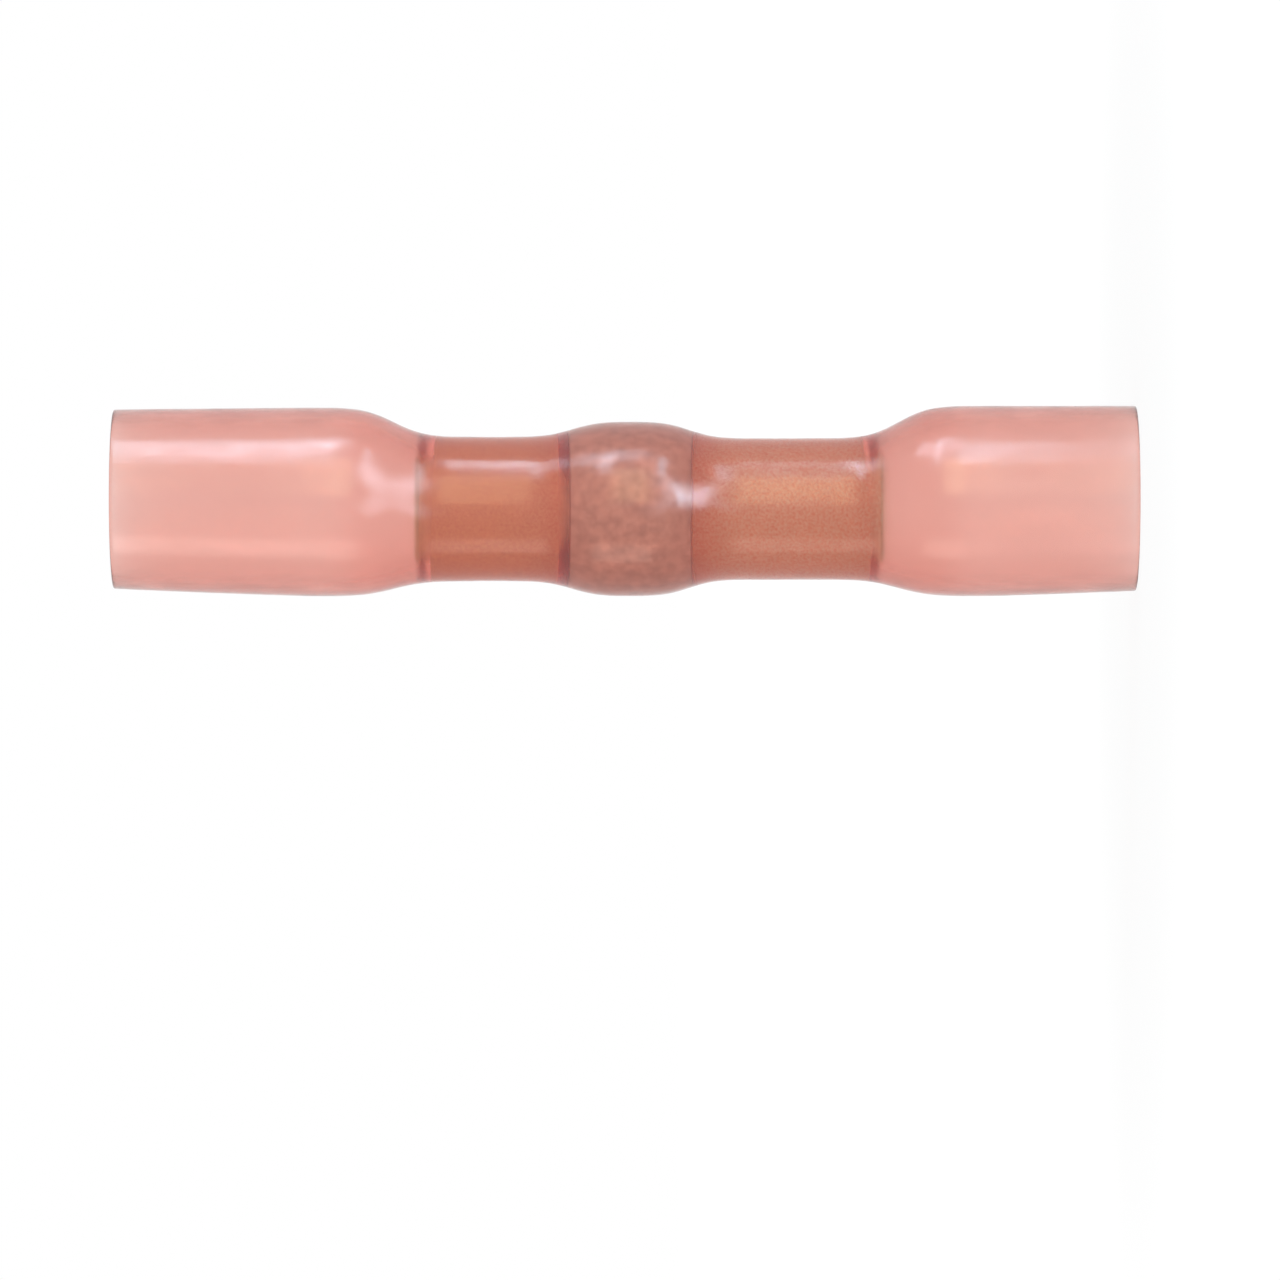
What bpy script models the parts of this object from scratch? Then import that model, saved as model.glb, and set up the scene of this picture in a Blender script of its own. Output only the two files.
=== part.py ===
"""Heat-shrink crimp and solder butt connector, standing on one end.

A copper crimp barrel carries a band of solder round its middle. A sleeve of
clear red tube is shrunk on to both. It is left wide at its two ends, where the
wires go in, so it has two shoulders, two necks and a bulge over the solder.

Z runs up the connector. It stands on its lower mouth at z = 0, with the origin
under the middle of its width. It is slightly bowed: the widest places of its
two ends and its bulge touch one upright line on the -X side, as they touch a
table on which it is laid. Units are metres.
"""

import math

import bmesh
import bpy

MM = 0.001

# Sleeve. Its diameters are outside diameters.
SLEEVE_LENGTH = 38.0 * MM
TUBE_DIAMETER = 7.0 * MM  # of the tube as supplied, before it is shrunk
TUBE_WALL = 0.425 * MM  # of the same tube
UPPER_CROWN_DIAMETER = 7.03 * MM  # widest place of the upper end
UPPER_MOUTH_DIAMETER = 6.68 * MM  # at the cut
UPPER_MOUTH_LEAN = 0.28 * MM  # of the cut, away from the line on the -X side
UPPER_SHOULDER_REACH = 0.87 * MM  # from the barrel's end out to the shoulder's middle
UPPER_NECK_SLACK = 0.07 * MM  # the upper neck is not quite tight on the barrel
LOWER_CROWN_DIAMETER = 7.1 * MM
LOWER_MOUTH_DIAMETER = 6.9 * MM
LOWER_MOUTH_LEAN = 0.20 * MM
LOWER_SHOULDER_REACH = 0.57 * MM
CROWN_REACH = 2.9 * MM  # from a shoulder's middle out to the widest place
MOUTH_EASE = 1.3  # power by which an end draws in and leans from its crown to its mouth
SHOULDER_SOFTNESS = 0.89 * MM  # spread of the bell curve that rounds a shoulder
BULGE_SOFTNESS = 0.75 * MM  # the same at each side of the bulge

# Crimp barrel, a piece of seamless copper tube
BARREL_LENGTH = 17.3 * MM
BARREL_DIAMETER = 4.04 * MM
BARREL_WALL = 0.85 * MM
BARREL_DROP = 0.95 * MM  # of its middle below the sleeve's middle
BARREL_EDGE = 0.1 * MM  # broken edge outside
BARREL_LEAD_IN = 0.3 * MM  # chamfer that leads the strands into the bore

# Wire stop, a bead rolled into the middle of the barrel
STOP_WIDTH = 1.0 * MM
STOP_GROOVE = 0.25 * MM  # depth outside
STOP_RIDGE = 0.45 * MM  # height inside

# Solder ports, drilled through the barrel at each side of the stop
PORT_DIAMETER = 0.8 * MM
PORT_SPACING = 1.9 * MM

# Solder ring
RING_WIDTH = 4.38 * MM
RING_THICKNESS = 0.71 * MM
RING_RISE = 0.73 * MM  # of its middle above the barrel's middle

FIT_GAP = 0.03 * MM  # left between pieces that touch

# Fineness of the meshes
ROUND_STEPS = 48
SLEEVE_STATIONS = 44
RING_STATIONS = 13
BEAD_STATIONS = 9
PORT_STEPS = 20
BEND_LENGTH = 17.0 * MM  # of straight sleeve, with as many stations as a radian of bend
OUTLINE_SAMPLES = 1200
SHARP_ANGLE = math.radians(35)

# What follows from the sizes above
BARREL_RADIUS = BARREL_DIAMETER / 2
BORE_RADIUS = BARREL_RADIUS - BARREL_WALL
BARREL_MIDDLE = SLEEVE_LENGTH / 2 - BARREL_DROP
BARREL_BOTTOM = BARREL_MIDDLE - BARREL_LENGTH / 2
BARREL_TOP = BARREL_MIDDLE + BARREL_LENGTH / 2
RING_BOTTOM = BARREL_MIDDLE + RING_RISE - RING_WIDTH / 2
RING_TOP = BARREL_MIDDLE + RING_RISE + RING_WIDTH / 2
RING_BORE_RADIUS = BARREL_RADIUS + FIT_GAP
UPPER_SHOULDER = BARREL_TOP + UPPER_SHOULDER_REACH
LOWER_SHOULDER = BARREL_BOTTOM - LOWER_SHOULDER_REACH
WALL_SECTION = (TUBE_DIAMETER / 2) ** 2 - (TUBE_DIAMETER / 2 - TUBE_WALL) ** 2
TABLE_SIDE = -max(UPPER_CROWN_DIAMETER, LOWER_CROWN_DIAMETER) / 2  # x of the line it touches


def shrunk_radius(inner_radius):
    """Outside radius of the sleeve once shrunk to this bore: its wall keeps its area."""
    return math.sqrt(inner_radius**2 + WALL_SECTION)


def bore_radius(outer_radius):
    """Bore of the sleeve where it has this outside radius."""
    return math.sqrt(outer_radius**2 - WALL_SECTION)


UPPER_NECK_RADIUS = shrunk_radius(BARREL_RADIUS + FIT_GAP + UPPER_NECK_SLACK)
LOWER_NECK_RADIUS = shrunk_radius(BARREL_RADIUS + FIT_GAP)
BULGE_RADIUS = shrunk_radius(RING_BORE_RADIUS + RING_THICKNESS + FIT_GAP)
BARREL_AXIS = TABLE_SIDE + BULGE_RADIUS  # x of the barrel's axis


def soft_step(distance, softness):
    """0 well before a step, 1 well past it, rounded by a bell curve of this spread."""
    return (1 + math.erf(distance / (softness * math.sqrt(2)))) / 2


def neck_radius(z):
    """Outside radius over the bare barrel: one neck passes into the other under the bulge."""
    share = soft_step(z - (RING_BOTTOM + RING_TOP) / 2, BULGE_SOFTNESS)
    return LOWER_NECK_RADIUS + (UPPER_NECK_RADIUS - LOWER_NECK_RADIUS) * share


def bulge_share(z):
    """1 over the solder ring and 0 away from it."""
    rise = soft_step(z - RING_BOTTOM, BULGE_SOFTNESS)
    fall = soft_step(z - RING_TOP, BULGE_SOFTNESS)
    return rise - fall


def lower_share(z):
    """1 in the lower end of the sleeve and 0 past its shoulder."""
    return soft_step(LOWER_SHOULDER - z, SHOULDER_SOFTNESS)


def upper_share(z):
    """1 in the upper end of the sleeve and 0 before its shoulder."""
    return soft_step(z - UPPER_SHOULDER, SHOULDER_SOFTNESS)


def end_tube(past, length, crown_diameter, mouth_diameter, mouth_lean):
    """Radius and axis of one wide end, this far past its shoulder towards its mouth.

    Its crown touches the line on the -X side. From there it draws in and leans to its mouth.
    """
    along = (max(past - CROWN_REACH, 0.0) / (length - CROWN_REACH)) ** MOUTH_EASE
    radius = (crown_diameter - (crown_diameter - mouth_diameter) * along) / 2
    return radius, TABLE_SIDE + radius + mouth_lean * along


def lower_tube(z):
    sizes = (LOWER_CROWN_DIAMETER, LOWER_MOUTH_DIAMETER, LOWER_MOUTH_LEAN)
    return end_tube(LOWER_SHOULDER - z, LOWER_SHOULDER, *sizes)


def upper_tube(z):
    sizes = (UPPER_CROWN_DIAMETER, UPPER_MOUTH_DIAMETER, UPPER_MOUTH_LEAN)
    return end_tube(z - UPPER_SHOULDER, SLEEVE_LENGTH - UPPER_SHOULDER, *sizes)


def sleeve_section(z):
    """Outside radius of the sleeve and x of its axis, at height z."""
    lower_radius, lower_axis = lower_tube(z)
    upper_radius, upper_axis = upper_tube(z)
    neck = neck_radius(z)
    radius = (
        neck
        + (BULGE_RADIUS - neck) * bulge_share(z)
        + (lower_radius - neck) * lower_share(z)
        + (upper_radius - neck) * upper_share(z)
    )
    axis = (
        BARREL_AXIS
        + (lower_axis - BARREL_AXIS) * lower_share(z)
        + (upper_axis - BARREL_AXIS) * upper_share(z)
    )
    return radius, axis


def evenly(start, end, count):
    """count places from start to end, both included."""
    return [start + (end - start) * i / (count - 1) for i in range(count)]


def sleeve_stations():
    """Heights from mouth to mouth, closer together where the outline bends."""
    samples = evenly(0.0, SLEEVE_LENGTH, OUTLINE_SAMPLES)
    radii = [sleeve_section(z)[0] for z in samples]
    step = samples[1] - samples[0]
    travelled = [0.0, step]
    for before, here, after in zip(radii, radii[1:], radii[2:]):
        bend = abs(after - 2 * here + before) / step
        travelled.append(travelled[-1] + step + BEND_LENGTH * bend)
    heights = []
    seen = 0
    for wanted in evenly(0.0, travelled[-1], SLEEVE_STATIONS):
        while seen < OUTLINE_SAMPLES - 1 and travelled[seen] < wanted:
            seen += 1
        heights.append(samples[seen])
    return heights


def sleeve_profile():
    """Closed outline of the wall: along the outside, then back along the bore."""
    outside = []
    bore = []
    for z in sleeve_stations():
        radius, axis = sleeve_section(z)
        outside.append((z, radius, axis))
        bore.append((z, bore_radius(radius), axis))
    return outside + bore[::-1]


def bead(z):
    """Share of the stop's full depth at z: a raised cosine, one stop wide."""
    offset = min(abs(z - BARREL_MIDDLE) / (STOP_WIDTH / 2), 1.0)
    return (1 + math.cos(math.pi * offset)) / 2


def barrel_profile():
    """Closed outline of the barrel's wall, with broken edges, lead-ins and the rolled stop."""
    beaded = evenly(BARREL_MIDDLE - STOP_WIDTH / 2, BARREL_MIDDLE + STOP_WIDTH / 2, BEAD_STATIONS)
    outside = [
        (BARREL_BOTTOM, BARREL_RADIUS - BARREL_EDGE),
        (BARREL_BOTTOM + BARREL_EDGE, BARREL_RADIUS),
        *[(z, BARREL_RADIUS - STOP_GROOVE * bead(z)) for z in beaded],
        (BARREL_TOP - BARREL_EDGE, BARREL_RADIUS),
        (BARREL_TOP, BARREL_RADIUS - BARREL_EDGE),
    ]
    bore = [
        (BARREL_BOTTOM, BORE_RADIUS + BARREL_LEAD_IN),
        (BARREL_BOTTOM + BARREL_LEAD_IN, BORE_RADIUS),
        *[(z, BORE_RADIUS - STOP_RIDGE * bead(z)) for z in beaded],
        (BARREL_TOP - BARREL_LEAD_IN, BORE_RADIUS),
        (BARREL_TOP, BORE_RADIUS + BARREL_LEAD_IN),
    ]
    return [(z, radius, BARREL_AXIS) for z, radius in outside + bore[::-1]]


def ring_profile():
    """Closed outline of the solder band, whose crowned outside fills the sleeve's bulge."""
    outside = []
    for z in evenly(RING_BOTTOM, RING_TOP, RING_STATIONS):
        sleeve_radius = sleeve_section(z)[0]
        outside.append((z, bore_radius(sleeve_radius) - FIT_GAP, BARREL_AXIS))
    bore = [(RING_TOP, RING_BORE_RADIUS, BARREL_AXIS), (RING_BOTTOM, RING_BORE_RADIUS, BARREL_AXIS)]
    return outside + bore


def material(name, colour, roughness, metallic, transmission=0.0):
    made = bpy.data.materials.new(name)
    made.use_nodes = True
    shader = made.node_tree.nodes["Principled BSDF"]
    shader.inputs["Base Color"].default_value = (*colour, 1.0)
    shader.inputs["Roughness"].default_value = roughness
    shader.inputs["Metallic"].default_value = metallic
    shader.inputs["Transmission Weight"].default_value = transmission
    made.diffuse_color = (*colour, 1.0)
    return made


def add_object(name, bm, finish, parent):
    """Turns a bmesh into an object of this name, smooth but for its real edges."""
    bmesh.ops.recalc_face_normals(bm, faces=bm.faces)
    mesh = bpy.data.meshes.new(name)
    bm.to_mesh(mesh)
    bm.free()
    mesh.shade_smooth()
    mesh.set_sharp_from_angle(angle=SHARP_ANGLE)
    if finish is not None:
        mesh.materials.append(finish)
    made = bpy.data.objects.new(name, mesh)
    made.parent = parent
    bpy.context.scene.collection.objects.link(made)
    return made


def turned_body(name, profile, finish, parent):
    """Carries a closed outline of (height, radius, x of the axis) once round its axis."""
    bm = bmesh.new()
    loops = []
    for z, radius, axis in profile:
        angles = [math.tau * i / ROUND_STEPS for i in range(ROUND_STEPS)]
        ring = [(axis + radius * math.cos(a), radius * math.sin(a), z) for a in angles]
        loops.append([bm.verts.new(point) for point in ring])
    for loop, following in zip(loops, loops[1:] + loops[:1]):
        for i in range(ROUND_STEPS):
            j = (i + 1) % ROUND_STEPS
            bm.faces.new((loop[i], loop[j], following[j], following[i]))
    return add_object(name, bm, finish, parent)


def drill_ports(barrel, parent):
    """Cuts one port through both walls at each side of the wire stop."""
    for side, name in ((-1, "lower_port_drill"), (1, "upper_port_drill")):
        bm = bmesh.new()
        bmesh.ops.create_cone(
            bm,
            cap_ends=True,
            segments=PORT_STEPS,
            radius1=PORT_DIAMETER / 2,
            radius2=PORT_DIAMETER / 2,
            depth=BARREL_DIAMETER * 2,
        )
        drill = add_object(name, bm, None, parent)
        drill.location = (BARREL_AXIS, 0.0, BARREL_MIDDLE + side * PORT_SPACING / 2)
        drill.rotation_euler = (0.0, math.pi / 2, 0.0)
        drill.hide_render = True
        drill.display_type = "WIRE"
        cut = barrel.modifiers.new(name, "BOOLEAN")
        cut.operation = "DIFFERENCE"
        cut.solver = "EXACT"
        cut.object = drill


def build():
    for old in list(bpy.data.objects):
        bpy.data.objects.remove(old, do_unlink=True)
    connector = bpy.data.objects.new("butt_connector", None)
    bpy.context.scene.collection.objects.link(connector)

    polyolefin = material("red_polyolefin", (0.70, 0.24, 0.19), 0.25, 0.0, transmission=0.6)
    copper = material("drawn_copper", (0.78, 0.36, 0.20), 0.32, 1.0)
    solder = material("bright_solder", (0.62, 0.60, 0.60), 0.22, 1.0)

    turned_body("heat_shrink_sleeve", sleeve_profile(), polyolefin, connector)
    barrel = turned_body("crimp_barrel", barrel_profile(), copper, connector)
    drill_ports(barrel, connector)
    turned_body("solder_ring", ring_profile(), solder, connector)


build()
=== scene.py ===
"""Looks of a heat-shrink butt connector: a copper barrel and a solder ring in a clear red sleeve.

The connector stands on its lower mouth. The photograph shows it lying, so the camera is turned
on its side: +X is up in the picture and -Z is to the right.
"""

import math

import bmesh
import bpy
import numpy as np
from mathutils import Matrix, Vector


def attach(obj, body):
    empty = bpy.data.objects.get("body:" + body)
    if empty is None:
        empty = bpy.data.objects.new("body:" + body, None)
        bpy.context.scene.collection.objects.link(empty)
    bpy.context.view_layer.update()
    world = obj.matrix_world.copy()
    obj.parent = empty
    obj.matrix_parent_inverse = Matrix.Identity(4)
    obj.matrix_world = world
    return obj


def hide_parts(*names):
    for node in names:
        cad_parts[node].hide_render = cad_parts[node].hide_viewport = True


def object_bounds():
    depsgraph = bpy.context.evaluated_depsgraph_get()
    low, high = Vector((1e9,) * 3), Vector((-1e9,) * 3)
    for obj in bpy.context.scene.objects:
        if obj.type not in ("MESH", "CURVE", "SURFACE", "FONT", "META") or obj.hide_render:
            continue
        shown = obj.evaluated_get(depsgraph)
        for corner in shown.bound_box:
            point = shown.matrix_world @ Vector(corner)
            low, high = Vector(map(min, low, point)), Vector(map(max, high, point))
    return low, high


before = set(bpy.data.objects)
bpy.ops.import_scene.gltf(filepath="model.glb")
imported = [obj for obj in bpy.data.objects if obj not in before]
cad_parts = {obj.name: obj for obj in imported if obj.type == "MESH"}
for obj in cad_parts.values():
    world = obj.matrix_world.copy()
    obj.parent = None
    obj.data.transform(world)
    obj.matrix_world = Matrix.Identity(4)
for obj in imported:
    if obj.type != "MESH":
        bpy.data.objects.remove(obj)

CAD_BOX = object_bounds()
MM = 0.001

# The photograph, in its own pixels
PICTURE_SIZE = 1280
PIXELS_PER_MM = 26.9
SLEEVE_MIDDLE_PIXEL = (624.75, 501.0)

# Camera
CAMERA_DISTANCE = 350 * MM
CAMERA_RISE = math.radians(4.5)  # how far it looks down on the connector, as photographed
SENSOR_WIDTH_MM = 36.0

# Fineness of the meshes
SLEEVE_ROUND_STEPS = 168
METAL_ROUND_STEPS = 144
SLEEVE_STATIONS = 250
RING_STATIONS = 60
CORNER_STEPS = 5
PORT_STEPS = 48
SEAM_WELD = 0.0005 * MM
SAME_HEIGHT = 0.002 * MM  # corners of the frame's nodes this near in height are one station
WHOLE_RING = 150  # a station has more corners than this, the edge of a port fewer

# Edges
LIP_RADIUS = 0.09 * MM  # rounding of the sleeve's cut ends
BARREL_EDGE_RADIUS = 0.05 * MM
RING_EDGE_RADIUS = 0.12 * MM
CORNER_TURN = math.radians(20)  # an outline is rounded where it turns by more than this
LONGEST_CUT = 0.45  # share of a side that the rounding of one corner may take
SHARP_ANGLE = math.radians(35)  # edges of the ports sharper than this keep their crease

# The barrel
PORT_DIAMETER = 0.8 * MM  # of the two holes that the solder runs in through
PORT_SPACING = 1.9 * MM
HAZE_PAINT_END, GOLDEN_END = 14 * MM, 24 * MM  # heights between which its copper goes from a painted pale haze, standing in for light scattered by the sleeve, to golden

# The hot-melt lining of the sleeve. It fills narrower gaps to the metal than these: at the
# barrel's lower end, the ring's lower edge, its upper edge and the barrel's upper end.
LINING_REACHES = (0.25 * MM, 0.8 * MM, 0.46 * MM, 0.27 * MM)
LINING_EASE = 0.15 * MM  # it lets go of the metal over the last of that gap
LINING_DEPTH = 0.012 * MM  # it is drawn this deep into the metal, so that no air shows between
LINING_SWELL = 0.08 * MM  # it gathers this thick, where the sleeve widens past the barrel's ends
LINING_CLEARANCE = 0.05 * MM  # and the swell keeps this far from the metal
SWELL_LENGTH = 1.2 * MM
SWELL_OFFSET = 1.6 * MM
LINING_ROUGHNESS = 0.265  # where it is dull. The outside of the tube is a little shinier.
DULL_LENGTH = 1.7 * MM  # it is dull this near to the ends of the metal, and clearer elsewhere
CLEAR_SHARE = 0.12  # share of that dullness which it keeps elsewhere

# Shape of the shrunk wall
MOUTH_THINNING = 0.16 * MM  # it is stretched this much thinner at the mouths
MOUTH_REACH = 1.3 * MM
WAVINESS = 0.03 * MM
WAVE_LENGTH = 5.0 * MM
WAVE_SEED = 3.0

# Lengths of the features of each pattern in mm, along X, Y and the draw where there are three.
# Real die lines and specks of oxide are finer than a pixel, which shows 0.04 mm, so those of the
# copper are drawn as coarse as they need to be to show.
TUBE_LINE = (0.4, 0.4, 16.667)
TUBE_PATCH = (0.7143, 0.7143, 1.4286)
TUBE_CLOUD = 3.846
COPPER_LINE = (0.1667, 0.1667, 4.0)
OXIDE_SPECK = 0.1
SOLDER_SWELL = 1.6667
SOLDER_FROST = 0.3846

# Light. A level of 1 shows a colour as it is written.
ROOM_LEVEL = 0.6
COOL_WHITE, WARM_WHITE, LOW_WHITE = "#d0eaff", "#ffe6b4", "#ffe8d8"
TUBE_WHITE, STRIP_WHITE = "#bce4fa", "#dceeff"
FLOOR_WIDTH = 8.0  # metres, so that its edge never shows
FLOOR_GLOW = 0.88  # share of the floor's look that is plain white, so that its shadow stays pale
FLOOR_LIGHT = 1.03  # strength of that white, which makes up for the share of the paper
FLOOR_NEAR, FLOOR_FAR = 12 * MM, 50 * MM  # the floor fades into the white room between these

PICTURE_RIGHT = Vector((0, 0, -1))
PICTURE_UP = Vector((math.cos(CAMERA_RISE), math.sin(CAMERA_RISE), 0))
PICTURE_IN = PICTURE_UP.cross(PICTURE_RIGHT)
MIDDLE = (CAD_BOX[0] + CAD_BOX[1]) / 2


def srgb(code):
    """Linear colour of an sRGB hex value."""
    parts = [int(code[i : i + 2], 16) / 255 for i in (1, 3, 5)]
    linear = [c / 12.92 if c <= 0.04045 else ((c + 0.055) / 1.055) ** 2.4 for c in parts]
    return (*linear, 1.0)


def scale_for(length):
    """Scale at which a pattern's features are this long in mm, or this long along each axis."""
    if isinstance(length, tuple):
        return tuple(1 / (side * MM) for side in length)
    return 1 / (length * MM)


def add_node(tree, kind, inputs=None, **settings):
    """Adds a node with its settings. An input is given a value, or a socket to link from."""
    made = tree.nodes.new(kind)
    for name, value in settings.items():
        setattr(made, name, value)
    for name, value in (inputs or {}).items():
        socket = made.inputs[name]
        if isinstance(value, bpy.types.NodeSocket):
            tree.links.new(value, socket)
        else:
            socket.default_value = value
    return made


def new_material(name):
    """An empty material, and its tree."""
    made = bpy.data.materials.new(name)
    made.use_nodes = True
    made.node_tree.nodes.clear()
    return made, made.node_tree


def red_polyolefin():
    """Cross-linked polyolefin tube, drawn clear red, blown wide and shrunk back on the barrel.

    The eye gets a clear satin red that darkens where the wall is seen edge on, faint lines
    along the draw and soft patches in the shine where it shrank unevenly. The red is in the
    depth of the wall, and the lining beside the ends of the metal is duller.
    """
    made, tree = new_material("drawn_red_polyolefin")
    place = add_node(tree, "ShaderNodeTexCoord").outputs["Object"]
    along_draw = add_node(
        tree, "ShaderNodeMapping", {"Vector": place, "Scale": scale_for(TUBE_LINE)}
    )
    stretched = add_node(
        tree, "ShaderNodeMapping", {"Vector": place, "Scale": scale_for(TUBE_PATCH)}
    )
    draw_lines = add_node(
        tree,
        "ShaderNodeTexNoise",
        {"Vector": along_draw.outputs["Vector"], "Scale": 1.0, "Detail": 3.0},
    )
    patches = add_node(
        tree,
        "ShaderNodeTexNoise",
        {"Vector": stretched.outputs["Vector"], "Scale": 1.0, "Detail": 2.0},
    )
    clouds = add_node(
        tree,
        "ShaderNodeTexNoise",
        {"Vector": place, "Scale": scale_for(TUBE_CLOUD), "Detail": 3.0},
    )
    tint = add_node(
        tree,
        "ShaderNodeMix",
        {"Factor": clouds.outputs["Fac"], "A": srgb("#f8efee"), "B": srgb("#faf5f5")},
        data_type="RGBA",
    )
    # Both faces stay smoother than 0.27, above which the denoiser draws curly lines
    outer_roughness = add_node(
        tree,
        "ShaderNodeMapRange",
        {
            "Value": patches.outputs["Fac"],
            "From Min": 0.3,
            "From Max": 0.7,
            "To Min": 0.13,
            "To Max": 0.25,
        },
    )
    bore = add_node(tree, "ShaderNodeAttribute", attribute_name="bore")
    roughness = add_node(
        tree,
        "ShaderNodeMix",
        {
            "Factor": bore.outputs["Fac"],
            "A": outer_roughness.outputs["Result"],
            "B": LINING_ROUGHNESS,
        },
    )
    bumps = add_node(
        tree,
        "ShaderNodeMath",
        {0: draw_lines.outputs["Fac"], 1: 0.1, 2: patches.outputs["Fac"]},
        operation="MULTIPLY_ADD",
    )
    relief = add_node(
        tree,
        "ShaderNodeBump",
        {"Height": bumps.outputs["Value"], "Strength": 0.2, "Distance": 0.006 * MM},
    )
    shader = add_node(
        tree,
        "ShaderNodeBsdfPrincipled",
        {
            "Base Color": tint.outputs["Result"],
            "Roughness": roughness.outputs["Result"],
            "Normal": relief.outputs["Normal"],
            "IOR": 1.5,
            "Transmission Weight": 0.97,
        },
    )
    depth = add_node(
        tree, "ShaderNodeVolumeAbsorption", {"Color": srgb("#faa27e"), "Density": 1250.0}
    )
    add_node(
        tree,
        "ShaderNodeOutputMaterial",
        {"Surface": shader.outputs["BSDF"], "Volume": depth.outputs["Volume"]},
    )
    return made


def drawn_copper():
    """Soft copper tube, drawn through a die and left bare.

    The eye gets a warm satin metal with fine lines along the draw and a dull speckle of oxide.
    Towards the lower end it is painted paler, a painted haze of light scattered by the sleeve.
    """
    made, tree = new_material("drawn_copper")
    place = add_node(tree, "ShaderNodeTexCoord").outputs["Object"]
    along_draw = add_node(
        tree, "ShaderNodeMapping", {"Vector": place, "Scale": scale_for(COPPER_LINE)}
    )
    draw_lines = add_node(
        tree,
        "ShaderNodeTexNoise",
        {"Vector": along_draw.outputs["Vector"], "Scale": 1.0, "Detail": 4.0},
    )
    oxide = add_node(
        tree,
        "ShaderNodeTexNoise",
        {"Vector": place, "Scale": scale_for(OXIDE_SPECK), "Detail": 3.0, "Roughness": 0.6},
    )
    dullness = add_node(
        tree,
        "ShaderNodeMapRange",
        {"Value": oxide.outputs["Fac"], "From Min": 0.38, "From Max": 0.8},
    )
    height = add_node(tree, "ShaderNodeSeparateXYZ", {"Vector": place}).outputs["Z"]
    # Painted haze: the copper is painted paler towards the lower end, standing in for light
    # scattered by the sleeve
    haze_fade = add_node(
        tree,
        "ShaderNodeMapRange",
        {"Value": height, "From Min": HAZE_PAINT_END, "From Max": GOLDEN_END},
    )
    bright = add_node(
        tree,
        "ShaderNodeMix",
        {"Factor": haze_fade.outputs["Result"], "A": srgb("#f8ffe4"), "B": srgb("#f4e8b4")},
        data_type="RGBA",
    )
    colour = add_node(
        tree,
        "ShaderNodeMix",
        {"Factor": dullness.outputs["Result"], "A": bright.outputs["Result"], "B": srgb("#ecd8ac")},
        data_type="RGBA",
    )
    roughness = add_node(
        tree,
        "ShaderNodeMapRange",
        {"Value": oxide.outputs["Fac"], "To Min": 0.6, "To Max": 0.8},
    )
    relief = add_node(
        tree,
        "ShaderNodeBump",
        {"Height": draw_lines.outputs["Fac"], "Strength": 0.4, "Distance": 0.01 * MM},
    )
    shader = add_node(
        tree,
        "ShaderNodeBsdfPrincipled",
        {
            "Base Color": colour.outputs["Result"],
            "Roughness": roughness.outputs["Result"],
            "Normal": relief.outputs["Normal"],
            "Metallic": 1.0,
        },
    )
    add_node(tree, "ShaderNodeOutputMaterial", {"Surface": shader.outputs["BSDF"]})
    return made


def bright_solder():
    """Tin solder, cast as a band and left as it froze.

    The eye gets a bright grey metal, smooth but never quite even, with small frosted patches.
    """
    made, tree = new_material("cast_tin_solder")
    place = add_node(tree, "ShaderNodeTexCoord").outputs["Object"]
    swells = add_node(
        tree,
        "ShaderNodeTexNoise",
        {"Vector": place, "Scale": scale_for(SOLDER_SWELL), "Detail": 2.0},
    )
    frost = add_node(
        tree,
        "ShaderNodeTexNoise",
        {"Vector": place, "Scale": scale_for(SOLDER_FROST), "Detail": 5.0},
    )
    colour = add_node(
        tree,
        "ShaderNodeMix",
        {"Factor": frost.outputs["Fac"], "A": srgb("#e8d6c4"), "B": srgb("#ccb8a6")},
        data_type="RGBA",
    )
    roughness = add_node(
        tree,
        "ShaderNodeMapRange",
        {
            "Value": frost.outputs["Fac"],
            "From Min": 0.35,
            "From Max": 0.65,
            "To Min": 0.52,
            "To Max": 0.66,
        },
    )
    relief = add_node(
        tree,
        "ShaderNodeBump",
        {"Height": swells.outputs["Fac"], "Strength": 0.4, "Distance": 0.05 * MM},
    )
    shader = add_node(
        tree,
        "ShaderNodeBsdfPrincipled",
        {
            "Base Color": colour.outputs["Result"],
            "Roughness": roughness.outputs["Result"],
            "Normal": relief.outputs["Normal"],
            "Metallic": 1.0,
        },
    )
    add_node(tree, "ShaderNodeOutputMaterial", {"Surface": shader.outputs["BSDF"]})
    return made


def stations_of(node):
    """For each station of a turned node: its height, its axis and its radii, bore first."""
    corners = np.array([v.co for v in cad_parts[node].data.vertices])
    corners = corners[np.argsort(corners[:, 2])]
    steps = np.flatnonzero(np.diff(corners[:, 2]) > SAME_HEIGHT) + 1
    stations = []
    for ring in np.split(corners, steps):
        axis, reach, height = ring[ring[:, 1].argmax()]  # the corner beside the axis
        bore = np.hypot(ring[:, 0] - axis, ring[:, 1]).min()
        if len(ring) > WHOLE_RING:
            stations.append((height, axis, bore, reach))
    return np.array(stations).T


def outside_of(node):
    """Heights and radii of the outside of a metal piece, without the stations of its bore alone."""
    heights, _, bores, radii = stations_of(node)
    outside = radii > (bores[0] + radii[0]) / 2
    return heights[outside], radii[outside]


def smoothly(places, values, wanted):
    """Values at the wanted places, on a cubic curve through the given ones."""
    slopes = np.gradient(values, places)
    seat = np.clip(np.searchsorted(places, wanted) - 1, 0, len(places) - 2)
    span = places[seat + 1] - places[seat]
    t = (wanted - places[seat]) / span
    return (
        values[seat] * (1 + 2 * t) * (1 - t) ** 2
        + values[seat + 1] * t**2 * (3 - 2 * t)
        + slopes[seat] * span * t * (1 - t) ** 2
        - slopes[seat + 1] * span * t**2 * (1 - t)
    )


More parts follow.
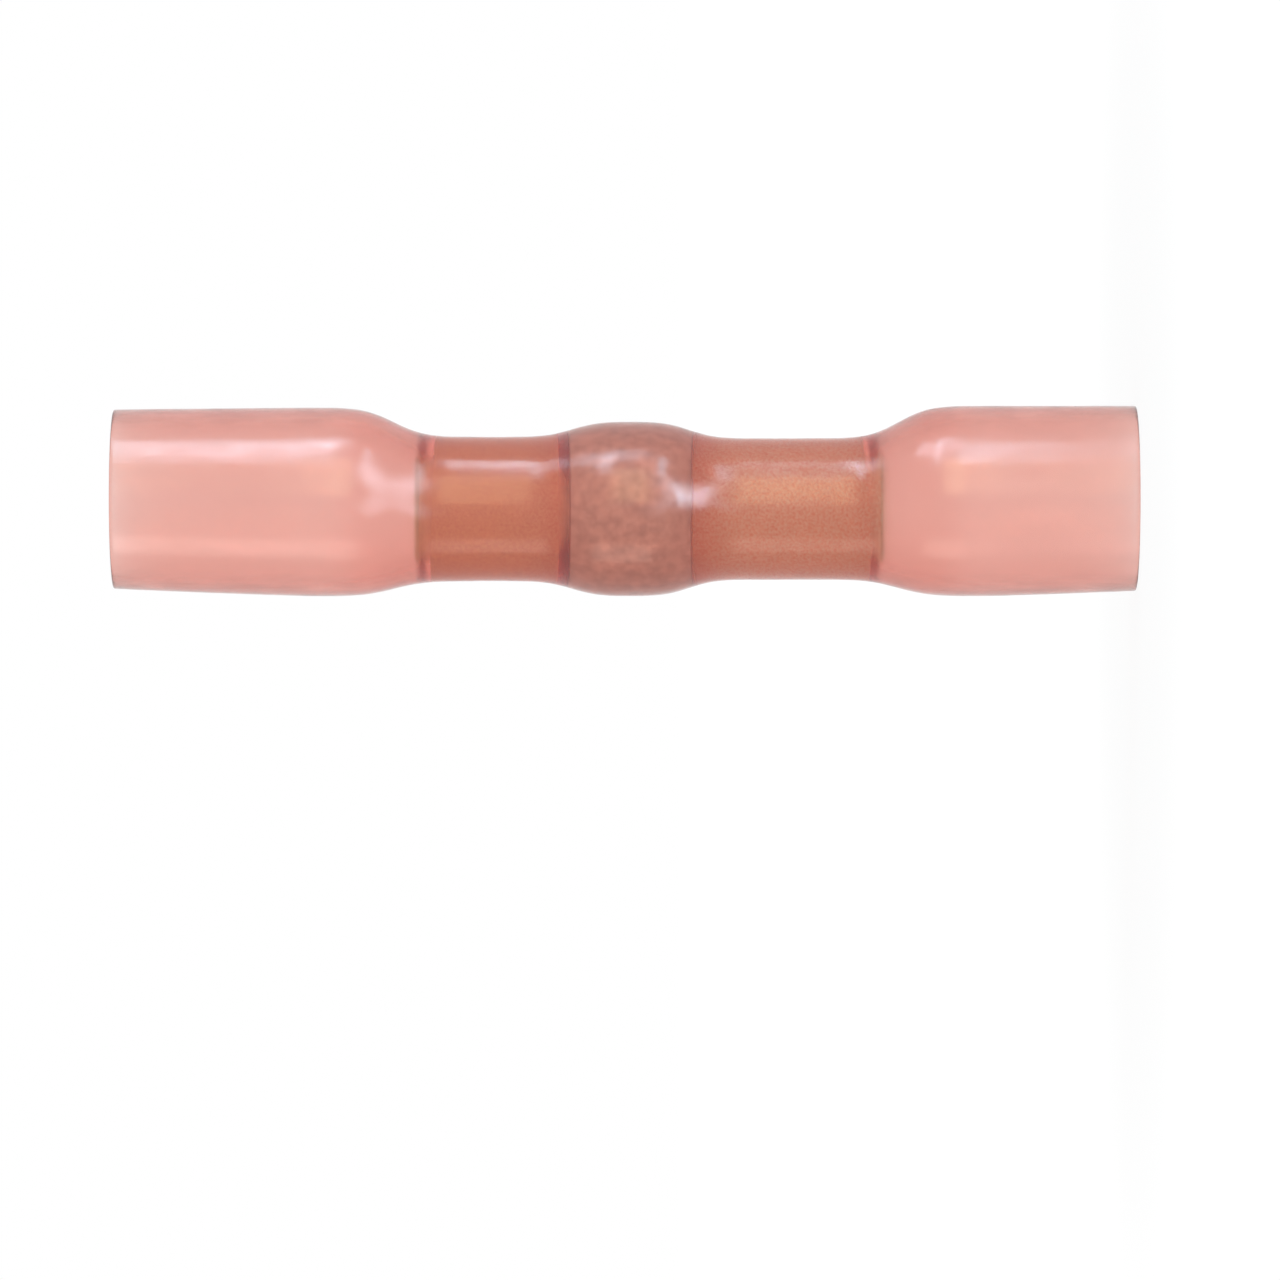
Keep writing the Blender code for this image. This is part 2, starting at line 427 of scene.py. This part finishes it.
def rounded(outline, radius):
    """The closed outline with its sharp corners turned into small arcs."""
    result = []
    count = len(outline)
    for i in range(count):
        before, here, after = outline[i - 1], outline[i], outline[(i + 1) % count]
        coming, going = (here - before)[:2], (after - here)[:2]
        arriving, leaving = np.linalg.norm(coming), np.linalg.norm(going)
        turn = math.acos(np.clip(coming @ going / arriving / leaving, -1, 1))
        if turn < CORNER_TURN:
            result.append(here)
            continue
        back = radius * math.tan(turn / 2)
        start = here + (before - here) * min(back / arriving, LONGEST_CUT)
        end = here + (after - here) * min(back / leaving, LONGEST_CUT)
        for t in np.linspace(0, 1, CORNER_STEPS):
            result.append(start * (1 - t) ** 2 + here * 2 * t * (1 - t) + end * t**2)
    return result


def turning_tree():
    """Geometry Nodes that carry an outline once round, each corner at its own radius and axis.

    A corner of the outline holds its radius in x and its height in z. Its axis is an attribute,
    and so is its share of the bore's look, which the finished piece keeps for its material.
    """
    tree = bpy.data.node_groups.new("turned_piece", "GeometryNodeTree")
    face = tree.interface
    face.new_socket("Outline", in_out="INPUT", socket_type="NodeSocketGeometry")
    face.new_socket("Round Steps", in_out="INPUT", socket_type="NodeSocketInt")
    face.new_socket("Waviness", in_out="INPUT", socket_type="NodeSocketFloat")
    face.new_socket("Wave Length", in_out="INPUT", socket_type="NodeSocketFloat")
    face.new_socket("Seed", in_out="INPUT", socket_type="NodeSocketFloat")
    face.new_socket("Seam Weld", in_out="INPUT", socket_type="NodeSocketFloat")
    face.new_socket("Finish", in_out="INPUT", socket_type="NodeSocketMaterial")
    face.new_socket("Piece", in_out="OUTPUT", socket_type="NodeSocketGeometry")
    given = add_node(tree, "NodeGroupInput").outputs

    stations = add_node(tree, "GeometryNodeAttributeDomainSize", {0: given["Outline"]})
    corners_round = add_node(
        tree, "FunctionNodeIntegerMath", {0: given["Round Steps"], 1: 1}, operation="ADD"
    ).outputs[0]
    grid = add_node(
        tree,
        "GeometryNodeMeshGrid",
        {"Vertices X": stations.outputs["Point Count"], "Vertices Y": corners_round},
    )
    index = add_node(tree, "GeometryNodeInputIndex").outputs["Index"]
    station = add_node(
        tree, "FunctionNodeIntegerMath", {0: index, 1: corners_round}, operation="DIVIDE_FLOOR"
    ).outputs[0]
    step = add_node(
        tree, "FunctionNodeIntegerMath", {0: index, 1: corners_round}, operation="MODULO"
    ).outputs[0]
    step_angle = add_node(
        tree, "ShaderNodeMath", {0: math.tau, 1: given["Round Steps"]}, operation="DIVIDE"
    ).outputs[0]
    angle = add_node(
        tree, "ShaderNodeMath", {0: step, 1: step_angle}, operation="MULTIPLY"
    ).outputs[0]
    cosine = add_node(tree, "ShaderNodeMath", {0: angle}, operation="COSINE").outputs[0]
    sine = add_node(tree, "ShaderNodeMath", {0: angle}, operation="SINE").outputs[0]

    place = add_node(tree, "GeometryNodeInputPosition").outputs["Position"]
    corner = add_node(
        tree,
        "GeometryNodeSampleIndex",
        {"Geometry": given["Outline"], "Value": place, "Index": station},
        data_type="FLOAT_VECTOR",
    ).outputs["Value"]
    corner = add_node(tree, "ShaderNodeSeparateXYZ", {0: corner}).outputs
    kept = {}
    for name in ("axis", "bore"):
        value = add_node(
            tree, "GeometryNodeInputNamedAttribute", {"Name": name}, data_type="FLOAT"
        ).outputs["Attribute"]
        kept[name] = add_node(
            tree,
            "GeometryNodeSampleIndex",
            {"Geometry": given["Outline"], "Value": value, "Index": station},
            data_type="FLOAT",
        ).outputs["Value"]

    heading = add_node(tree, "ShaderNodeCombineXYZ", {"X": cosine, "Y": sine}).outputs[0]
    waves_round = add_node(
        tree, "ShaderNodeMath", {0: corner["Z"], 1: given["Wave Length"]}, operation="DIVIDE"
    ).outputs[0]
    wave_place = add_node(
        tree, "ShaderNodeCombineXYZ", {"X": cosine, "Y": sine, "Z": waves_round}
    ).outputs[0]
    wave = add_node(
        tree,
        "ShaderNodeTexNoise",
        {"Vector": wave_place, "W": given["Seed"], "Scale": 1.0, "Detail": 2.0},
        noise_dimensions="4D",
    ).outputs["Fac"]
    sunk = add_node(
        tree, "ShaderNodeMath", {0: wave, 1: given["Waviness"]}, operation="MULTIPLY"
    ).outputs[0]
    radius = add_node(
        tree, "ShaderNodeMath", {0: corner["X"], 1: sunk}, operation="SUBTRACT"
    ).outputs[0]
    arm = add_node(
        tree, "ShaderNodeVectorMath", {0: heading, "Scale": radius}, operation="SCALE"
    ).outputs["Vector"]
    centre = add_node(tree, "ShaderNodeCombineXYZ", {"X": kept["axis"], "Z": corner["Z"]})
    target = add_node(
        tree, "ShaderNodeVectorMath", {0: centre.outputs[0], 1: arm}, operation="ADD"
    ).outputs[0]

    marked = add_node(
        tree,
        "GeometryNodeStoreNamedAttribute",
        {"Geometry": grid.outputs["Mesh"], "Name": "bore", "Value": kept["bore"]},
        data_type="FLOAT",
        domain="POINT",
    )
    turned = add_node(
        tree,
        "GeometryNodeSetPosition",
        {"Geometry": marked.outputs["Geometry"], "Position": target},
    )
    welded = add_node(
        tree,
        "GeometryNodeMergeByDistance",
        {"Geometry": turned.outputs["Geometry"], "Distance": given["Seam Weld"]},
    )
    outward = add_node(tree, "GeometryNodeFlipFaces", {"Mesh": welded.outputs["Geometry"]})
    smooth = add_node(tree, "GeometryNodeSetShadeSmooth", {"Geometry": outward.outputs["Mesh"]})
    real = add_node(
        tree, "GeometryNodeRealizeInstances", {"Geometry": smooth.outputs["Geometry"]}
    )
    finished = add_node(
        tree,
        "GeometryNodeSetMaterial",
        {"Geometry": real.outputs["Geometry"], "Material": given["Finish"]},
    )
    add_node(tree, "NodeGroupOutput", {"Piece": finished.outputs["Geometry"]})
    return tree


def as_plain_mesh(piece):
    """Puts what the piece's modifiers make of it into its mesh, and removes them."""
    evaluated = piece.evaluated_get(bpy.context.evaluated_depsgraph_get())
    mesh = bpy.data.meshes.new_from_object(evaluated)
    piece.modifiers.clear()
    piece.data = mesh
    mesh.name = piece.name


def turned_piece(name, outline, round_steps, finish, waviness=0.0):
    """A closed outline of (radius, height, axis, bore) corners, turned into a finished mesh."""
    mesh = bpy.data.meshes.new(name)
    closed = np.array([*outline, outline[0]])
    corners = [(radius, 0.0, height) for radius, height, _, _ in closed]
    mesh.from_pydata(corners, [(i, i + 1) for i in range(len(outline))], [])
    for column, attribute in ((2, "axis"), (3, "bore")):
        kept = mesh.attributes.new(attribute, "FLOAT", "POINT")
        kept.data.foreach_set("value", closed[:, column])
    piece = bpy.data.objects.new(name, mesh)
    bpy.context.scene.collection.objects.link(piece)
    values = {
        "Round Steps": round_steps,
        "Waviness": waviness,
        "Wave Length": WAVE_LENGTH,
        "Seed": WAVE_SEED,
        "Seam Weld": SEAM_WELD,
        "Finish": finish,
    }
    turning = piece.modifiers.new("turning", "NODES")
    turning.node_group = TURNING
    for item in TURNING.interface.items_tree:
        if item.name in values:
            turning[item.identifier] = values[item.name]
    as_plain_mesh(piece)
    return piece


def wall_outline(outside, inside, radius):
    """The outline of a wall: out along its outside, back along its bore, with rounded corners."""
    return rounded(np.array([*outside, *list(inside)[::-1]]), radius)


def build_sleeve(finish):
    """The tube: rounded lips, thinner mouths, and a lining that wets the barrel and the ring."""
    heights, axes, bores, radii = stations_of("heat_shrink_sleeve")
    barrel_heights, barrel_radii = outside_of("crimp_barrel")
    ring_heights, ring_radii = outside_of("solder_ring")
    # The lining steps over the ring's lower edge between two stations close beside it
    edge = (ring_heights[0] - SAME_HEIGHT, ring_heights[0] + SAME_HEIGHT)
    wanted = np.sort([*np.linspace(heights[0], heights[-1], SLEEVE_STATIONS), *edge])
    axes = smoothly(heights, axes, wanted)
    bores = smoothly(heights, bores, wanted)
    radii = smoothly(heights, radii, wanted)
    metal_radii = np.maximum(
        np.interp(wanted, barrel_heights, barrel_radii, 0, 0),
        np.interp(wanted, ring_heights, ring_radii, 0, 0),
    )
    ends = (barrel_heights[0], ring_heights[0], ring_heights[-1], barrel_heights[-1])
    slack = bores - metal_radii
    reach = np.interp(wanted, ends, LINING_REACHES)
    sunk = (slack + LINING_DEPTH) * np.clip((reach - slack) / LINING_EASE, 0, 1)
    dullness = sum(np.exp(-(((wanted - end) / DULL_LENGTH) ** 4)) for end in ends).clip(0, 1)
    for end, side in ((ends[0], -1), (ends[-1], 1)):
        swell = np.exp(-(((wanted - end) * side - SWELL_OFFSET) / SWELL_LENGTH) ** 2)
        sunk = np.maximum(sunk, np.minimum(LINING_SWELL * swell, slack - LINING_CLEARANCE))
    inward = np.minimum(wanted - wanted[0], wanted[-1] - wanted)
    bores = bores - sunk + MOUTH_THINNING * np.exp(-inward / MOUTH_REACH)
    outline = wall_outline(
        zip(radii, wanted, axes, 0 * wanted),
        zip(bores, wanted, axes, CLEAR_SHARE + (1 - CLEAR_SHARE) * dullness),
        LIP_RADIUS,
    )
    return turned_piece("shrunk_sleeve", outline, SLEEVE_ROUND_STEPS, finish, WAVINESS)


def build_barrel(finish):
    """The crimp barrel, with its edges rounded and its solder ports drilled."""
    heights, axes, bores, radii = stations_of("crimp_barrel")
    middle = (bores[0] + radii[0]) / 2
    outside = [(r, z, a, 0) for z, a, r in zip(heights, axes, radii) if r > middle]
    inside = [(r, z, a, 1) for z, a, r in zip(heights, axes, bores) if r < middle]
    outline = wall_outline(outside, inside, BARREL_EDGE_RADIUS)
    barrel = turned_piece("copper_barrel", outline, METAL_ROUND_STEPS, finish)
    # Each drill passes through both walls
    drills = bpy.data.meshes.new("drills")
    shape = bmesh.new()
    for side in (-1, 1):
        place = Vector((axes[0], 0, (heights[0] + heights[-1] + side * PORT_SPACING) / 2))
        bmesh.ops.create_cone(
            shape,
            cap_ends=True,
            segments=PORT_STEPS,
            radius1=PORT_DIAMETER / 2,
            radius2=PORT_DIAMETER / 2,
            depth=radii.max() * 4,
            matrix=Matrix.Translation(place) @ Matrix.Rotation(math.pi / 2, 4, "Y"),
        )
    shape.to_mesh(drills)
    shape.free()
    drill = bpy.data.objects.new("drills", drills)
    bpy.context.scene.collection.objects.link(drill)
    cut = barrel.modifiers.new("ports", "BOOLEAN")
    cut.operation = "DIFFERENCE"
    cut.solver = "EXACT"
    cut.object = drill
    as_plain_mesh(barrel)
    bpy.data.objects.remove(drill, do_unlink=True)
    barrel.data.set_sharp_from_angle(angle=SHARP_ANGLE)
    return barrel


def build_ring(finish):
    """The solder band, with its edges melted round."""
    heights, axes, bores, radii = stations_of("solder_ring")
    wanted = np.linspace(heights[0], heights[-1], RING_STATIONS)
    radii = smoothly(heights, radii, wanted)
    axes = np.interp(wanted, heights, axes)
    inside = [(bores.min(), z, axes[0], 1) for z in (heights[0], heights[-1])]
    outline = wall_outline(zip(radii, wanted, axes, 0 * wanted), inside, RING_EDGE_RADIUS)
    return turned_piece("solder_band", outline, METAL_ROUND_STEPS, finish)


def seen_directly(tree):
    """1 for what the camera sees, straight, mirrored or through the sleeve, and 0 elsewhere."""
    path = add_node(tree, "ShaderNodeLightPath").outputs
    either = add_node(
        tree,
        "ShaderNodeMath",
        {0: path["Is Camera Ray"], 1: path["Is Glossy Ray"]},
        operation="MAXIMUM",
    ).outputs[0]
    return add_node(
        tree, "ShaderNodeMath", {0: either, 1: path["Is Transmission Ray"]}, operation="MAXIMUM"
    ).outputs[0]


def build_world():
    """A white room, at a plain level where it lights the connector."""
    world = bpy.data.worlds.new("white_room")
    world.use_nodes = True
    tree = world.node_tree
    tree.nodes.clear()
    strength = add_node(
        tree,
        "ShaderNodeMapRange",
        {"Value": seen_directly(tree), "To Min": ROOM_LEVEL, "To Max": 1.0},
    )
    light = add_node(
        tree,
        "ShaderNodeBackground",
        {"Color": srgb("#ffffff"), "Strength": strength.outputs["Result"]},
    )
    add_node(tree, "ShaderNodeOutputWorld", {"Surface": light.outputs["Background"]})
    bpy.context.scene.world = world


def build_floor():
    """A plain white floor that keeps a pale shadow."""
    made, tree = new_material("white_floor")
    paper = add_node(tree, "ShaderNodeBsdfDiffuse", {"Color": srgb("#f4f4f4")})
    glow = add_node(tree, "ShaderNodeEmission", {"Strength": FLOOR_LIGHT})
    place = add_node(tree, "ShaderNodeTexCoord").outputs["Object"]
    away = add_node(tree, "ShaderNodeVectorMath", {0: place}, operation="LENGTH").outputs["Value"]
    whiteness = add_node(
        tree,
        "ShaderNodeMapRange",
        {
            "Value": away,
            "From Min": FLOOR_NEAR,
            "From Max": FLOOR_FAR,
            "To Min": FLOOR_GLOW,
            "To Max": 1.0,
        },
        interpolation_type="SMOOTHSTEP",
    ).outputs["Result"]
    share = add_node(
        tree, "ShaderNodeMath", {0: seen_directly(tree), 1: whiteness}, operation="MULTIPLY"
    )
    both = add_node(
        tree,
        "ShaderNodeMixShader",
        {0: share.outputs[0], 1: paper.outputs["BSDF"], 2: glow.outputs["Emission"]},
    )
    add_node(tree, "ShaderNodeOutputMaterial", {"Surface": both.outputs["Shader"]})
    half = FLOOR_WIDTH / 2
    mesh = bpy.data.meshes.new("floor")
    mesh.from_pydata(
        [(-half, -half, 0), (half, -half, 0), (half, half, 0), (-half, half, 0)],
        [],
        [(0, 1, 2, 3)],
    )
    mesh.materials.append(made)
    floor = bpy.data.objects.new("floor", mesh)
    bpy.context.scene.collection.objects.link(floor)


def around(right, up, distance):
    """The place at these angles, in degrees, right of and above the line from middle to viewer."""
    right, up = math.radians(right), math.radians(up)
    level = PICTURE_RIGHT * math.sin(right) - PICTURE_IN * math.cos(right)
    return MIDDLE + (level * math.cos(up) + PICTURE_UP * math.sin(up)) * distance


def build_lamp(name, place, target, size, level, tint, spread=180, lean=0):
    """A soft box, or a small strip whose light spreads by an angle about its target.

    Its size is in mm, its spread and its lean, which turns it about its own light, in degrees.
    Its level is how bright its face looks beside a white room of level 1.
    """
    width, height = size[0] * MM, size[1] * MM
    half, lean = math.radians(spread) / 2, math.radians(lean)
    data = bpy.data.lights.new(name, "AREA")
    data.shape = "RECTANGLE"
    data.size, data.size_y = width, height
    data.spread = 2 * half
    # The same power in a narrower spread gives a brighter face, so a strip takes less of it
    data.energy = level * math.pi * width * height * (1 - half / math.tan(half))
    data.color = srgb(tint)[:3]
    lamp = bpy.data.objects.new(name, data)
    away = (place - target).normalized()
    upright = PICTURE_UP * math.cos(lean) - PICTURE_RIGHT * math.sin(lean)
    across = upright.cross(away).normalized()
    turned = Matrix((across, away.cross(across), away)).transposed().to_4x4()
    lamp.matrix_world = Matrix.Translation(place) @ turned
    lamp.visible_camera = False
    bpy.context.scene.collection.objects.link(lamp)
    return lamp


def build_camera():
    """Camera at the photograph's viewing angle, with its lens from the scale in the picture."""
    data = bpy.data.cameras.new("camera")
    data.sensor_width = SENSOR_WIDTH_MM
    data.lens = PIXELS_PER_MM * SENSOR_WIDTH_MM / PICTURE_SIZE * CAMERA_DISTANCE / MM
    low, high = CAD_BOX
    right = (PICTURE_SIZE / 2 - SLEEVE_MIDDLE_PIXEL[0]) / PIXELS_PER_MM * MM
    down = (PICTURE_SIZE / 2 - SLEEVE_MIDDLE_PIXEL[1]) / PIXELS_PER_MM * MM
    aim = (low + high) / 2 + PICTURE_RIGHT * right - PICTURE_UP * down
    camera = bpy.data.objects.new("camera", data)
    turned = Matrix((PICTURE_RIGHT, PICTURE_UP, -PICTURE_IN)).transposed().to_4x4()
    camera.matrix_world = Matrix.Translation(aim - PICTURE_IN * CAMERA_DISTANCE) @ turned
    bpy.context.scene.collection.objects.link(camera)
    bpy.context.scene.camera = camera


TURNING = turning_tree()
build_camera()
build_world()
build_floor()

sleeve = build_sleeve(red_polyolefin())
barrel = build_barrel(drawn_copper())
ring = build_ring(bright_solder())
for piece, node, slot in (
    (sleeve, "heat_shrink_sleeve", "red_polyolefin"),
    (barrel, "crimp_barrel", "drawn_copper"),
    (ring, "solder_ring", "bright_solder"),
):
    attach(piece, "root")
    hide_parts(node)

# Soft boxes that light the whole connector, the metal through the sleeve as well
for name, place, size, level, tint in (
    ("top_strip", Vector((158, -25, 27)) * MM, (18, 36), 6.5, COOL_WHITE),
    ("low_top_strip", Vector((158, -25, 10.5)) * MM, (9, 36), 2.0, COOL_WHITE),
    ("left_box", around(-38, 65, 160 * MM), (80, 50), 3.8, COOL_WHITE),
    ("warm_box", around(0.5, 30, 200 * MM), (30, 170), 3.5, WARM_WHITE),
    ("low_box", around(5, -62, 180 * MM), (120, 80), 1.6, LOW_WHITE),
):
    build_lamp(name, place, MIDDLE, size, level, tint)

# Boxes and near strips for the shine of the sleeve alone, each aimed at the place of its shine,
# with the place and the aim in mm too. Seen through the sleeve they would be white spots in views
# from behind, so they aren't seen through it.
for name, place, target, size, level, tint, spread, lean in (
    ("left_tube_box", (150, -62, 41), (0, 0, 33), (20, 100), 4.4, TUBE_WHITE, 180, 0),
    ("right_tube_box", (53, -27, 4.5), (0, 0, 4.5), (8, 30), 6.4, TUBE_WHITE, 180, 0),
    ("shoulder_strip", (18, -24, 12.8), (0.6, -3, 27.8), (15, 40), 9.0, STRIP_WHITE, 46, 18),
    ("foot_strip", (1.6, -24, 15.2), (-0.2, -2.9, 27), (8, 18), 4.6, STRIP_WHITE, 56, -48),
    ("ring_strip", (9, -22, 3), (0.4, -2.7, 16.2), (5, 16), 12.0, STRIP_WHITE, 56, 0),
):
    place, target = Vector(place) * MM, Vector(target) * MM
    lamp = build_lamp(name, place, target, size, level, tint, spread, lean)
    lamp.visible_transmission = False

bpy.context.scene.view_settings.view_transform = "Standard"
